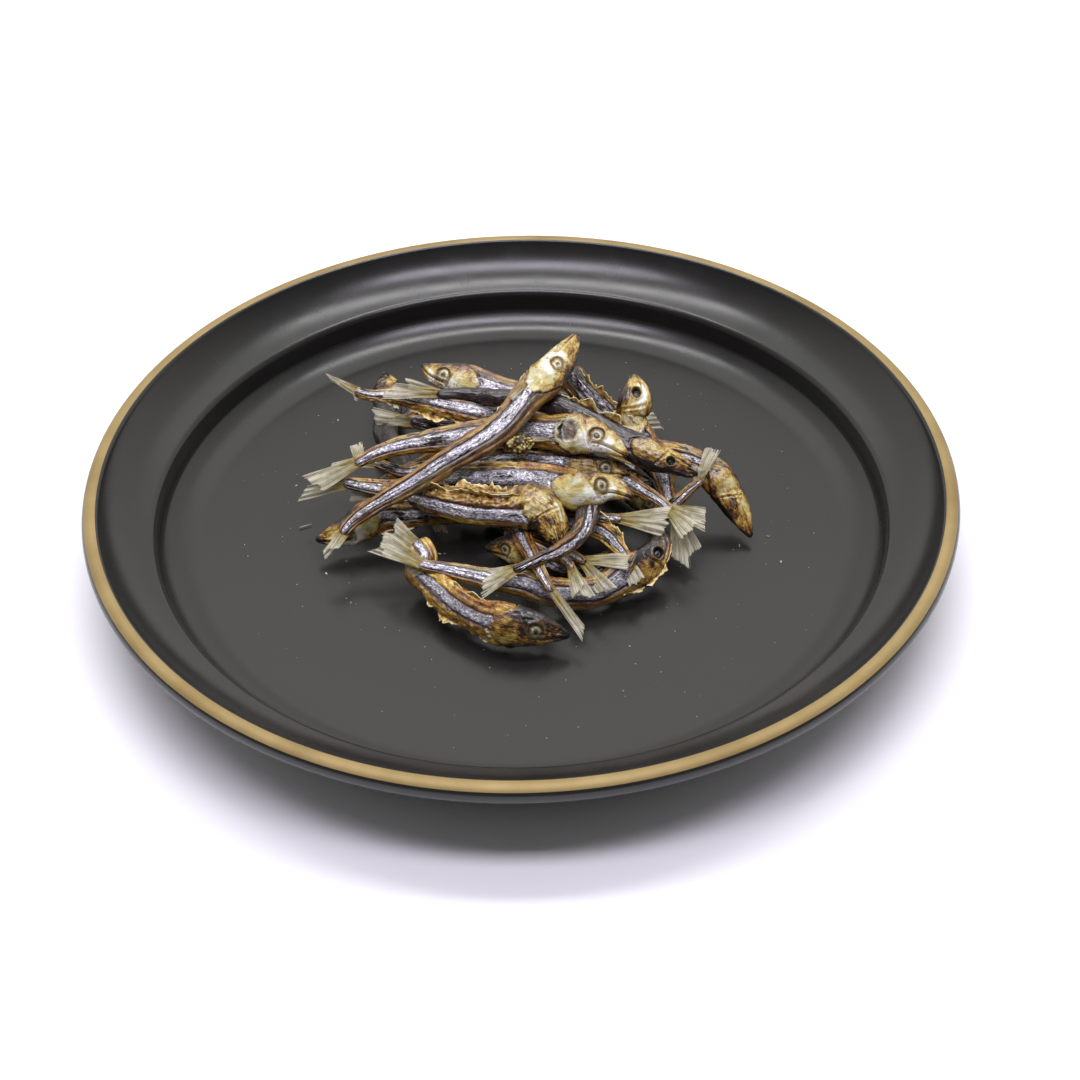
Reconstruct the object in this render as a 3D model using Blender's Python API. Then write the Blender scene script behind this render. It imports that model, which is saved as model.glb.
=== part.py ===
"""A black plate with a gilt lip, and a heap of dried anchovies on it.

Blender 4.5, metres, +Z up. The origin is on the table below the plate's centre,
+X is the plate's right-hand side and +Y its back. Run with
blender --background --python part.py
"""

import math
from collections import namedtuple

import bmesh
import bpy
from mathutils import Matrix, Vector, noise
from mathutils.geometry import interpolate_bezier

MM = 0.001

# Plate, in millimetres. A point is (distance from the axis, height above the table).
FLOOR_TOP = 5.6
FLOOR_RADIUS = 79.0
WELL_SWEEP = 12.0
WELL_SWEEP_ENDS = 46
WELL_ROUNDING = 2.4
EDGE_CENTRE = (91.0, 13.6)
EDGE_ROUNDING = 2.4
RIM_HOLLOW = (97.3, 18.5)
RIM_TOP = (100.7, 24.2)
LIP_RADIUS = 104.8
LIP_HEIGHT = 25.2
LIP_ROUNDING = 2.4
UNDER_LIP = (103.4, 20.5)
UNDER_HOLLOW = (98.0, 15.2)
UNDER_RIM = (91.8, 11.6)
BASE_HEIGHT = 2.0
BASE_RADIUS = 89.4
BASE_ROUNDING = 3.4
FOOT_OUTER = 66.4
FOOT_INNER = 60.2
FOOT_CHAMFER = 0.8
PLATE_SIDES = 72

# Heap, in millimetres. Heights here and in the fish's routes are above the plate's floor.
REST_GAP = 0.3
BODY_SIDES = 8
FIN_THICKNESS = 0.7
FIN_SINK = 1.2
CORE_CENTRE = (-1.0, 13.0)
CORE_RADII = (33.0, 19.0)
CORE_HEIGHT = 9.0
CORE_UNEVENNESS = 0.12
SCRAP_VOLUME = 5.0

# A flank faces up and to the plate's front: fish on the floor stand more upright than those on top.
LOW_FLANK_FACES = Vector((0.0, -0.9, 0.43))
HIGH_FLANK_FACES = Vector((0.0, -0.66, 0.75))
LOW_AND_HIGH = (FLOOR_TOP + 4.0, FLOOR_TOP + 12.0)

# How thick a fish is along its length, as (place, half depth, half width).
# Place runs from 0 at the snout to 1 at the tail's root, and both halves are
# shares of the greatest half depth.
BUILD = (
    (0.00, 0.15, 0.12),
    (0.03, 0.40, 0.26),
    (0.07, 0.68, 0.44),
    (0.12, 0.95, 0.60),
    (0.18, 1.15, 0.70),
    (0.24, 1.22, 0.68),
    (0.28, 1.06, 0.57),
    (0.34, 0.94, 0.54),
    (0.42, 0.95, 0.54),
    (0.52, 0.90, 0.50),
    (0.65, 0.78, 0.44),
    (0.78, 0.62, 0.36),
    (0.90, 0.46, 0.28),
    (1.00, 0.34, 0.20),
)

# name: what the fish is called here
# route: points along the middle of the body, from the snout to the tail's root
# depth: the body's greatest depth from back to belly
# shows: which flank faces up and forward
# span: the part of BUILD that the route covers, as a torn or buried fish is not whole
# fins: the tips of the tail fin's blades
Fish = namedtuple("Fish", "name route depth shows span fins")
WHOLE = (0.0, 1.0)

# A tail fin's blade, as (share of the way to its tip, share of the body's depth to the side).
BLADE_OUTLINE = ((0.0, -0.15), (0.8, -0.26), (1.1, 0.08), (0.7, 0.26), (0.0, 0.15))

HEAP = (
    Fish("across_top", ((15, 35, 33), (9, 24, 30), (2, 15, 28), (-5, 6, 25), (-16, -1, 22),
         (-25, -5, 18), (-34, -9, 15), (-40, -12, 12), (-43, -15, 10)),
         8.0, "left", WHOLE, ((-47, -20, 8), (-45, -19, 9))),
    Fish("white_cheek", ((26, 1, 20), (19, 6, 22), (10, 9, 21), (0, 12, 20), (-11, 13, 18),
         (-22, 12, 17), (-31, 11, 16), (-37, 9, 15), (-41, 7, 14)),
         8.4, "right", WHOLE, ((-51, 2, 12), (-47, 5, 13), (-41, 13, 16))),
    Fish("yellow_head", ((27, -10, 16), (21, -7, 17), (13, -8, 17), (5, -3, 16), (-5, 0, 15),
         (-15, 1, 14), (-22, 2, 12), (-30, 2, 10), (-37, 3, 10), (-44, 5, 10)),
         8.6, "right", WHOLE, ((-54, 3, 8), (-51, 6, 9))),
    Fish("split_belly", ((9, -20, 10), (7, -15, 13), (3, -12, 15), (-4, -12, 15), (-11, -10, 14),
         (-18, -8, 14), (-25, -3, 12), (-30, 0, 11), (-36, 2, 9)),
         9.6, "left", WHOLE, ((-42, 4, 7),)),
    Fish("left_head", ((-50, -11, 5), (-42, -9, 6), (-36, -6, 8), (-28, -5, 8), (-20, -3, 7),
         (-10, -2, 6), (0, -2, 5), (12, -5, 5)),
         7.6, "left", WHOLE, ((20, -8, 5),)),
    Fish("upper_left", ((17, 22, 6), (11, 23, 9), (4, 22, 13), (-4, 21, 17), (-11, 19, 20),
         (-20, 21, 21), (-31, 25, 21), (-38, 26, 21), (-42, 28, 21)),
         7.0, "right", WHOLE, ((-49, 33, 22), (-42, 27, 20))),
    Fish("upper_back", ((44, -1, 15), (38, 1, 17), (30, 4, 19), (20, 10, 22), (10, 16, 24),
         (2, 19, 24), (-5, 20, 24), (-14, 22, 24), (-21, 22, 24)),
         6.6, "left", WHOLE, ((-33, 22, 25), (-28, 24, 25))),
    Fish("right_arch", ((56, -9, 2), (52, -2, 7), (47, 4, 12), (41, 7, 14), (33, 10, 14),
         (25, 15, 13), (17, 21, 12), (9, 28, 10), (0, 32, 8)),
         7.2, "left", WHOLE, ((-8, 36, 6),)),
    Fish("back_flap", ((12, 33, 22), (16, 27, 20), (21, 23, 17), (26, 18, 13), (31, 13, 9),
         (37, 6, 6)),
         7.0, "right", (0.25, 0.9), ()),
    Fish("upright_head", ((29, 32, 22), (29, 24, 20), (28, 21, 16), (32, 15, 12), (35, 5, 11),
         (36, -3, 10), (38, -8, 9)),
         7.2, "right", WHOLE, ((38, -19, 3), (41, -17, 4))),
    Fish("right_tail", ((-14, 12, 6), (-5, 12, 7), (6, 12, 7), (13, 11, 9), (20, 7, 11),
         (24, 3, 12), (29, -2, 12), (33, -6, 12), (36, -9, 11)),
         7.0, "left", WHOLE, ((44, -14, 12), (40, -18, 12))),
    Fish("behind_yellow", ((28, 1, 12), (24, 3, 14), (17, 4, 14), (7, 7, 14), (-3, 9, 13),
         (-13, 10, 11), (-23, 11, 9), (-30, 10, 9), (-37, 14, 9)),
         7.0, "right", WHOLE, ((-42, 16, 8),)),
    Fish("front_curl", ((32, -14, 10), (33, -19, 9), (30, -23, 7), (24, -27, 6), (17, -31, 5),
         (8, -32, 6), (0, -31, 8), (-8, -30, 9), (-17, -28, 10), (-24, -27, 11)),
         8.0, "right", WHOLE, ((-34, -19, 9), (-32, -21, 12), (-27, -26, 8))),
    Fish("front_fish", ((11, -45, 4.5), (3, -44, 6), (-4, -43, 6.5), (-10, -40, 6.5), (-16, -35, 6.5),
         (-20, -30, 6.5), (-24, -25, 7), (-23, -22, 9), (-25, -18, 10)),
         8.6, "right", (0.0, 0.76), ((-33, -18, 11), (-30, -16, 13))),
    Fish("thin_curve", ((6, 11, 8), (13, 4, 10), (17, -4, 12), (16, -12, 14), (14, -20, 14),
         (9, -26, 14), (4, -29, 14), (-2, -32, 13)),
         6.4, "left", (0.1, 1.0), ((-9, -37, 12), (-7, -33, 13))),
    Fish("thin_stick", ((-8, 4, 5), (-6, -2, 6), (-2, -8, 8), (1, -19, 10), (4, -30, 12),
         (7, -36, 10)),
         6.2, "left", (0.3, 1.0), ((14, -45, 5),)),
    Fish("back_head", ((-26, 47, 15), (-22, 43, 15), (-15, 41, 14), (-6, 38, 13), (2, 36, 12),
         (10, 34, 11), (18, 32, 9), (27, 28, 7), (35, 22, 5)),
         8.0, "left", WHOLE, ((42, 17, 4),)),
    Fish("back_left", ((-37, 59, 4), (-36, 50, 5), (-35, 40, 6), (-35, 29, 6), (-31, 19, 6),
         (-27, 10, 5), (-22, 2, 4)),
         7.0, "right", WHOLE, ((-20, -6, 3),)),
    Fish("silver_patch", ((20, 20, 8), (10, 23, 9), (0, 24, 11), (-10, 22, 13), (-18, 21, 14),
         (-24, 21, 15), (-28, 23, 15)),
         7.2, "right", (0.2, 1.0), ((-33, 25, 14),)),
    Fish("broken_end", ((-1, 13, 15), (6, 11, 15), (13, 10, 14), (21, 10, 11), (29, 8, 9)),
         6.6, "left", (0.3, 0.8), ()),
    Fish("gap_head", ((-9, -15, 5), (-3, -16, 6), (3, -19, 6), (10, -23, 6), (18, -22, 5),
         (26, -16, 5)),
         7.0, "left", (0.0, 0.8), ()),
    Fish("tail_stub", ((-16, 2, 6), (-8, 0, 7), (2, -2, 9), (11, -7, 11), (18, -12, 12),
         (24, -14, 13)),
         6.6, "left", (0.2, 1.0), ((35, -13, 13), (34, -17, 12))),
    Fish("inner_curl", ((-4, -4, 5), (3, -5, 6), (9, -7, 7), (15, -11, 9), (20, -16, 10),
         (23, -21, 10), (25, -25, 10)),
         7.4, "right", (0.2, 1.0), ((27, -30, 7), (25, -30, 7))),
    Fish("fork_tail", ((-4, -8, 4), (4, -14, 5), (10, -20, 8), (15, -26, 10)),
         6.4, "left", (0.5, 1.0), ((20, -34, 8), (25, -27, 11))),
    Fish("draped_tail", ((0, -8, 4), (6, -15, 6), (9, -22, 9), (12, -28, 10)),
         6.0, "left", (0.5, 1.0), ((15, -36, 8), (13, -35, 9))),
    Fish("right_stem", ((29, -11, 7), (35, -7, 9), (39, -5, 12), (44, -2, 15)),
         5.6, "left", (0.55, 1.0), ((47, 5, 19), (43, 0, 17))),
    Fish("under_back_1", ((-34, 36, 4), (-24, 40, 4), (-12, 42, 4), (2, 42, 4), (16, 38, 4),
         (28, 34, 4)),
         7.4, "left", WHOLE, ((36, 36, 4),)),
    Fish("under_back_2", ((31, 24, 4), (20, 30, 5), (8, 33, 7), (-6, 33, 8), (-19, 32, 8),
         (-30, 31, 9)),
         7.4, "right", WHOLE, ((-38, 33, 9),)),
    Fish("under_left", ((-40, 0, 4), (-33, 8, 5), (-24, 17, 5), (-16, 27, 5), (-10, 37, 5)),
         7.2, "left", WHOLE, ((-7, 45, 4),)),
    Fish("under_right", ((36, -4, 4), (29, 6, 5), (21, 16, 5), (14, 27, 5), (8, 39, 4)),
         7.2, "right", WHOLE, ((4, 47, 4),)),
)


def linear_colour(code):
    """An sRGB hex colour as linear red, green, blue and alpha."""
    channels = [int(code[i : i + 2], 16) / 255 for i in (1, 3, 5)]
    linear = [c / 12.92 if c <= 0.04045 else ((c + 0.055) / 1.055) ** 2.4 for c in channels]
    return (*linear, 1.0)


def make_material(name, code, roughness, metallic=0.0):
    material = bpy.data.materials.new(name)
    material.use_nodes = True
    surface = material.node_tree.nodes["Principled BSDF"]
    surface.inputs["Base Color"].default_value = linear_colour(code)
    surface.inputs["Roughness"].default_value = roughness
    surface.inputs["Metallic"].default_value = metallic
    return material


def object_from(bm, name, material=None):
    mesh = bpy.data.meshes.new(name)
    bm.to_mesh(mesh)
    bm.free()
    if material:
        mesh.materials.append(material)
    return bpy.data.objects.new(name, mesh)


def arc(centre, radius, start, end, steps):
    """Points of a round stretch of the plate's section. Angles are in degrees."""
    angles = [math.radians(start + (end - start) * i / steps) for i in range(steps + 1)]
    return [(centre[0] + radius * math.cos(a), centre[1] + radius * math.sin(a)) for a in angles]


def sweep(start, pull, end, steps):
    """Points of a curve from start to end that is pulled towards a third point."""
    shares = [i / steps for i in range(steps + 1)]
    return [
        tuple((1 - t) ** 2 * a + 2 * t * (1 - t) * b + t * t * c for a, b, c in zip(start, pull, end))
        for t in shares
    ]


def plate_section():
    """The plate's half section, from the middle of the floor over the lip to the middle of the base."""
    well = arc((FLOOR_RADIUS, FLOOR_TOP + WELL_SWEEP), WELL_SWEEP, -90, WELL_SWEEP_ENDS - 90, 4)
    turn = math.radians(WELL_SWEEP_ENDS)
    corner = (well[-1][0] - WELL_ROUNDING * math.sin(turn), well[-1][1] + WELL_ROUNDING * math.cos(turn))
    well += arc(corner, WELL_ROUNDING, WELL_SWEEP_ENDS - 90, -10, 2)[1:]
    edge = arc(EDGE_CENTRE, EDGE_ROUNDING, 165, 110, 3)
    rim = sweep(edge[-1], RIM_HOLLOW, RIM_TOP, 4)[1:]
    lip = arc((LIP_RADIUS - LIP_ROUNDING, LIP_HEIGHT - LIP_ROUNDING), LIP_ROUNDING, 130, -45, 5)
    under_rim = sweep(UNDER_LIP, UNDER_HOLLOW, UNDER_RIM, 3)
    base = arc((BASE_RADIUS - BASE_ROUNDING, BASE_HEIGHT + BASE_ROUNDING), BASE_ROUNDING, 0, -90, 3)
    foot = [
        (FOOT_OUTER, BASE_HEIGHT),
        (FOOT_OUTER, FOOT_CHAMFER),
        (FOOT_OUTER - FOOT_CHAMFER, 0.0),
        (FOOT_INNER + FOOT_CHAMFER, 0.0),
        (FOOT_INNER, FOOT_CHAMFER),
        (FOOT_INNER, BASE_HEIGHT),
    ]
    return [(0.0, FLOOR_TOP), *well, *edge, *rim, *lip, *under_rim, *base, *foot, (0.0, BASE_HEIGHT)]


def make_plate(material):
    """The section spun round the plate's axis."""
    bm = bmesh.new()
    corners = [bm.verts.new((r * MM, 0.0, z * MM)) for r, z in plate_section()]
    edges = [bm.edges.new(pair) for pair in zip(corners, corners[1:])]
    bmesh.ops.spin(
        bm, geom=corners + edges, cent=(0, 0, 0), axis=(0, 0, 1),
        angle=math.tau, steps=PLATE_SIDES, use_merge=True,
    )
    bmesh.ops.remove_doubles(bm, verts=bm.verts, dist=1e-6)
    bmesh.ops.recalc_face_normals(bm, faces=bm.faces)
    plate = object_from(bm, "plate", material)
    plate.data.shade_smooth()
    plate.data.set_sharp_from_angle(angle=math.radians(35))
    return plate


def fine_route(points, steps=12):
    """A smooth curve through a fish's route points, in metres from the table."""
    knots = [Vector((x, y, z + FLOOR_TOP)) * MM for x, y, z in points]
    ends = [knots[0] * 2 - knots[1], *knots, knots[-1] * 2 - knots[-2]]
    curve = []
    for before, start, end, after in zip(ends, ends[1:], ends[2:], ends[3:]):
        curve += interpolate_bezier(
            start, start + (end - before) / 6, end - (after - start) / 6, end, steps
        )[:-1]
    return [*curve, knots[-1]]


def point_along(curve, share):
    """The point and the direction at a share of the curve's length."""
    lengths = [0.0]
    for a, b in zip(curve, curve[1:]):
        lengths.append(lengths[-1] + (b - a).length)
    wanted = share * lengths[-1]
    i = max(j for j in range(len(curve) - 1) if lengths[j] <= wanted + 1e-12)
    step = curve[i + 1] - curve[i]
    return curve[i] + step * ((wanted - lengths[i]) / step.length), step.normalized()


def across(point, direction, shows):
    """The way the shown flank faces and the way the back points, for a body lying along direction."""
    low, high = LOW_AND_HIGH
    t = min(max((point.z / MM - low) / (high - low), 0.0), 1.0)
    faces = LOW_FLANK_FACES.lerp(HIGH_FLANK_FACES, t * t * (3 - 2 * t))
    flank = (faces - direction * faces.dot(direction)).normalized()
    back = direction.cross(flank) if shows == "right" else flank.cross(direction)
    return flank, back


def build_at(place):
    """Half depth and half width at a place along the fish, read between the rows of BUILD."""
    for (p0, d0, w0), (p1, d1, w1) in zip(BUILD, BUILD[1:]):
        if place <= p1:
            t = (place - p0) / (p1 - p0)
            return d0 + (d1 - d0) * t, w0 + (w1 - w0) * t
    return BUILD[-1][1:]


def rest_on_floor(bm):
    """Flattens what would sink into the plate, so that it lies on the floor with the gap that solids keep."""
    lowest = (FLOOR_TOP + REST_GAP) * MM
    for vert in bm.verts:
        vert.co.z = max(vert.co.z, lowest)


def make_body(fish):
    """The head and body as rings from the snout to the tail's root, bridged and capped."""
    curve = fine_route(fish.route)
    first, last = fish.span
    places = [p for p, _, _ in BUILD if first < p < last]
    bm = bmesh.new()
    rings = []
    for place in (first, *places, last):
        centre, along = point_along(curve, (place - first) / (last - first))
        flank, back = across(centre, along, fish.shows)
        depth, width = (half * fish.depth / 2 * MM for half in build_at(place))
        axes = Matrix((back * depth, flank * width, along)).transposed().to_4x4()
        ring = bmesh.ops.create_circle(
            bm, segments=BODY_SIDES, radius=1, matrix=Matrix.Translation(centre) @ axes
        )["verts"]
        rings.append(ring)
    edges = [[e for e in bm.edges if e.verts[0] in ring and e.verts[1] in ring] for ring in rings]
    for one, other in zip(edges, edges[1:]):
        bmesh.ops.bridge_loops(bm, edges=one + other)
    bm.faces.new(rings[0])
    bm.faces.new(rings[-1])
    rest_on_floor(bm)
    bmesh.ops.recalc_face_normals(bm, faces=bm.faces)
    return object_from(bm, fish.name)


def make_blade(fish, number, tip):
    """One blade of a tail fin: a thin strip that widens from the tail's root to its tip."""
    root, along = point_along(fine_route(fish.route), 1.0)
    start = root - along * FIN_SINK * MM
    reach = Vector((tip[0], tip[1], tip[2] + FLOOR_TOP)) * MM - start
    flank, side = across(root, reach.normalized(), fish.shows)
    outline = [start + reach * way + side * (aside * fish.depth * MM) for way, aside in BLADE_OUTLINE]
    thickness = flank * FIN_THICKNESS * MM
    bm = bmesh.new()
    face = bm.faces.new([bm.verts.new(p - thickness / 2) for p in outline])
    raised = bmesh.ops.extrude_face_region(bm, geom=[face])["geom"]
    bmesh.ops.translate(bm, verts=[g for g in raised if isinstance(g, bmesh.types.BMVert)], vec=thickness)
    rest_on_floor(bm)
    bmesh.ops.recalc_face_normals(bm, faces=bm.faces)
    return object_from(bm, f"{fish.name}_blade_{number}")


def make_core(material):
    """The matted middle of the heap, under the fish that show."""
    bm = bmesh.new()
    bmesh.ops.create_icosphere(bm, subdivisions=2, radius=1)
    for vert in bm.verts:
        x, y, z = vert.co
        lump = 1 + CORE_UNEVENNESS * noise.noise(vert.co * 2)
        vert.co = Vector((
            CORE_CENTRE[0] + CORE_RADII[0] * x * lump,
            CORE_CENTRE[1] + CORE_RADII[1] * y * lump,
            FLOOR_TOP + max(CORE_HEIGHT * z * lump, REST_GAP),
        )) * MM
    bmesh.ops.dissolve_limit(bm, angle_limit=math.radians(1), verts=bm.verts, edges=bm.edges)
    bmesh.ops.triangulate(bm, faces=bm.faces)
    bmesh.ops.recalc_face_normals(bm, faces=bm.faces)
    return object_from(bm, "anchovy_heap", material)


def connected_parts(bm):
    """The separate shells of a mesh, each as a list of faces."""
    waiting = set(bm.faces)
    parts = []
    while waiting:
        part = [waiting.pop()]
        for face in part:
            for neighbour in (f for e in face.edges for f in e.link_faces):
                if neighbour in waiting:
                    waiting.discard(neighbour)
                    part.append(neighbour)
        parts.append(part)
    return parts


def shell_volume(faces):
    """Volume in cubic millimetres, below zero for the wall of a hollow that is sealed inside."""
    total = 0.0
    for face in faces:
        a, *others = (loop.vert.co / MM for loop in face.loops)
        total += sum(a.dot(b.cross(c)) / 6 for b, c in zip(others, others[1:]))
    return total


def fill_hollows_and_drop_scraps(mesh):
    bm = bmesh.new()
    bm.from_mesh(mesh)
    for part in connected_parts(bm):
        if shell_volume(part) < SCRAP_VOLUME:
            bmesh.ops.delete(bm, geom=part, context="FACES")
    bm.to_mesh(mesh)
    bm.free()


def make_heap(material):
    """Core, bodies and tail fins made one solid by one union."""
    heap = make_core(material)
    bpy.context.scene.collection.objects.link(heap)
    fish_group = bpy.data.collections.new("fish")
    bpy.context.scene.collection.children.link(fish_group)
    for fish in HEAP:
        fish_group.objects.link(make_body(fish))
        for number, tip in enumerate(fish.fins, start=1):
            fish_group.objects.link(make_blade(fish, number, tip))
    union = heap.modifiers.new("union", "BOOLEAN")
    union.operation = "UNION"
    union.operand_type = "COLLECTION"
    union.collection = fish_group
    union.solver = "MANIFOLD"
    bpy.context.view_layer.update()
    evaluated = heap.evaluated_get(bpy.context.evaluated_depsgraph_get())
    joined = bpy.data.meshes.new_from_object(evaluated)
    heap.modifiers.clear()
    heap.data = joined
    for obj in list(fish_group.objects):
        bpy.data.objects.remove(obj)
    bpy.data.collections.remove(fish_group)
    fill_hollows_and_drop_scraps(heap.data)
    heap.data.shade_smooth()
    heap.data.set_sharp_from_angle(angle=math.radians(40))
    return heap


def main():
    for obj in list(bpy.data.objects):
        bpy.data.objects.remove(obj)
    glaze = make_material("black_glaze", "#232322", 0.3)
    dried_skin = make_material("dried_skin", "#8A6A3C", 0.5)
    bpy.context.scene.collection.objects.link(make_plate(glaze))
    make_heap(dried_skin)


main()
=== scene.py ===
"""The looks of a black plate with a gilt lip and a heap of dried anchovies on it."""

import math
import random
from collections import namedtuple
from functools import partial

import bmesh
import bpy
from mathutils import Matrix, Vector, noise
from mathutils.geometry import interpolate_bezier


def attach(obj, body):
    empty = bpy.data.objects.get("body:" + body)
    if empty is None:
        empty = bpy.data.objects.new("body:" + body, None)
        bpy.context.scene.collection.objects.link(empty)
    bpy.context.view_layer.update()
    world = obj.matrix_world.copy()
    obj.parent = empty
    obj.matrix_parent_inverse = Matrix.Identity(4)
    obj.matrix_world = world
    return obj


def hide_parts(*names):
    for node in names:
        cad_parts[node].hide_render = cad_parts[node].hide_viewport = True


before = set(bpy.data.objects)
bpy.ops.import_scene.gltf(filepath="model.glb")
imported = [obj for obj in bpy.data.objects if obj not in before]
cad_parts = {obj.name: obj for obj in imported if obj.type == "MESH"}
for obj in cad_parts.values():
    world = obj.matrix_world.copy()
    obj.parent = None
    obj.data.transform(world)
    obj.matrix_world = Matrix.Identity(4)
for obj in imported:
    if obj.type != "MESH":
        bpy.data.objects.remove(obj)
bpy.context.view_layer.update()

MM = 0.001

# Plate, in millimetres. A point is (distance from the axis, height above the table).
FLOOR_TOP = 5.6
FLOOR_RADIUS = 79.0
WELL_SWEEP = 12.0
WELL_SWEEP_ENDS = 46
WELL_ROUNDING = 2.4
EDGE_CENTRE = (91.0, 13.6)
EDGE_ROUNDING = 2.4
RIM_HOLLOW = (97.3, 18.5)
RIM_TOP = (100.7, 24.2)
LIP_RADIUS = 104.8
LIP_HEIGHT = 25.2
LIP_ROUNDING = 2.4
UNDER_LIP = (103.4, 20.5)
UNDER_HOLLOW = (98.0, 15.2)
UNDER_RIM = (91.8, 11.6)
BASE_HEIGHT = 2.0
BASE_RADIUS = 89.4
BASE_ROUNDING = 3.4
FOOT_OUTER = 66.4
FOOT_INNER = 60.2
FOOT_CHAMFER = 0.8
GILT_BAND = (101.3, 104.15)
PLATE_SIDES = 256

# The photograph's camera. Its frame is a square, and the focal length is in that frame's pixels.
PHOTO_PIXELS = 1080
FOCAL_PIXELS = 1800
SENSOR_MM = 36
CAMERA_DISTANCE = 443
CAMERA_ELEVATION = math.radians(41.13)
CAMERA_ROLL = math.radians(-0.88)
CAMERA_AIM = Vector((4.4, -6.4, FLOOR_TOP))

# A flank faces up and to the plate's front: fish on the floor stand more upright than those on top.
LOW_FLANK_FACES = Vector((0.0, -0.9, 0.43))
HIGH_FLANK_FACES = Vector((0.0, -0.66, 0.75))
LOW_AND_HIGH = (FLOOR_TOP + 4.0, FLOOR_TOP + 12.0)

# How thick a fish is along its length, as (place, half depth, half width).
# Place runs from 0 at the snout to 1 at the tail's root, and both halves are
# shares of the greatest half depth.
BUILD = (
    (0.00, 0.15, 0.12),
    (0.03, 0.40, 0.26),
    (0.07, 0.68, 0.44),
    (0.12, 0.95, 0.60),
    (0.18, 1.15, 0.70),
    (0.24, 1.22, 0.68),
    (0.28, 1.06, 0.57),
    (0.34, 0.94, 0.54),
    (0.42, 0.95, 0.54),
    (0.52, 0.90, 0.50),
    (0.65, 0.78, 0.44),
    (0.78, 0.62, 0.36),
    (0.90, 0.46, 0.28),
    (1.00, 0.34, 0.20),
)
HEAD_SHARE = 0.262

# stripe: where the silver begins and ends, as shares of the way from belly to back
# gold, dark, pale: how golden the back is, how black the flank is, how pale the head is
# gill: how far the gill cover has shrunk to an open ring
# torn: how rough the belly's flesh is
# hollow: 1 where the eye has dried out of its socket
# head: the head's length against the usual one
# eye: how far back in the head the eye is, or less than 0 where the shown flank has none left
USUAL_EYE = 0.45
Look = namedtuple(
    "Look", "stripe gold dark pale gill torn hollow head eye", defaults=(0.0, 0.0, 0.0, 1.0, USUAL_EYE)
)
HIDDEN = Look((0.3, 0.6), 0.5, 0.4, 0.3)

# name: what the fish is called here
# route: points along the middle of the body, from the snout to the tail's root
# depth: the body's greatest depth from back to belly
# shows: which flank faces up and forward
# span: the part of BUILD that the route covers, as a torn or buried fish is not whole
# fins: the tips of the tail fin's blades, each with the blade's width
# look: the colours and the gill
Fish = namedtuple("Fish", "name route depth shows span fins look")
WHOLE = (0.0, 1.0)

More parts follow.
